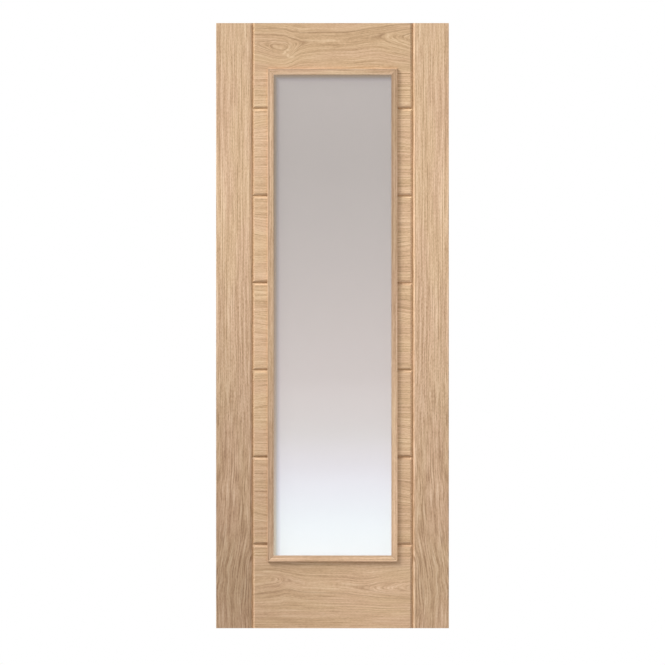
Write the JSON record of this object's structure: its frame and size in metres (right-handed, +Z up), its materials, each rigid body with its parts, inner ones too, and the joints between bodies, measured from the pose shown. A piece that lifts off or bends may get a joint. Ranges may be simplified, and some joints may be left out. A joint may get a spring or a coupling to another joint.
{
  "type": "glazed interior door leaf",
  "caption": "Oak-faced interior door leaf with upright and cross V-grooves and a tall glazed opening held by mitred, raised beads; unmachined, for hanging on edge hinges.",
  "frame": {"origin": "foot of the hanging edge, at mid thickness", "axes": "+X across the leaf from the hanging edge to the closing edge, -Y out of the front face, +Z up"},
  "size_m": [0.762, 0.053, 1.981],
  "materials": {
    "oak_stile_facing": "unfinished oak, upright grain",
    "oak_rail_facing": "unfinished oak, level grain",
    "oak_panel_facing": "unfinished oak, level grain",
    "oak_lipping": "unfinished solid oak",
    "oak_bead": "unfinished solid oak",
    "timber_core": "sawn laminated softwood",
    "satin_glass": "satin",
    "glazing_tape": "matt foam tape"
  },
  "bodies": {
    "root": {"hanging_stile_core": "timber_core", "hanging_stile_lipping": "oak_lipping", "hanging_stile_front_facing": "oak_stile_facing", "hanging_stile_rear_facing": "oak_stile_facing", "closing_stile_core": "timber_core", "closing_stile_lipping": "oak_lipping", "closing_stile_front_facing": "oak_stile_facing", "closing_stile_rear_facing": "oak_stile_facing", "top_rail_core": "timber_core", "top_rail_front_facing": "oak_rail_facing", "top_rail_rear_facing": "oak_rail_facing", "bottom_rail_core": "timber_core", "bottom_rail_front_facing": "oak_rail_facing", "bottom_rail_rear_facing": "oak_rail_facing", "left_infill_core": "timber_core", "left_panel_1_facings": "oak_panel_facing", "left_panel_2_facings": "oak_panel_facing", "left_panel_3_facings": "oak_panel_facing", "left_panel_4_facings": "oak_panel_facing", "left_panel_5_facings": "oak_panel_facing", "left_panel_6_facings": "oak_panel_facing", "left_panel_7_facings": "oak_panel_facing", "right_infill_core": "timber_core", "right_panel_1_facings": "oak_panel_facing", "right_panel_2_facings": "oak_panel_facing", "right_panel_3_facings": "oak_panel_facing", "right_panel_4_facings": "oak_panel_facing", "right_panel_5_facings": "oak_panel_facing", "right_panel_6_facings": "oak_panel_facing", "right_panel_7_facings": "oak_panel_facing", "glass_pane": "satin_glass", "front_glazing_tape": "glazing_tape", "front_top_bead": "oak_bead", "front_bottom_bead": "oak_bead", "front_left_bead": "oak_bead", "front_right_bead": "oak_bead", "rear_glazing_tape": "glazing_tape", "rear_top_bead": "oak_bead", "rear_bottom_bead": "oak_bead", "rear_left_bead": "oak_bead", "rear_right_bead": "oak_bead"}
  },
  "joints": []
}
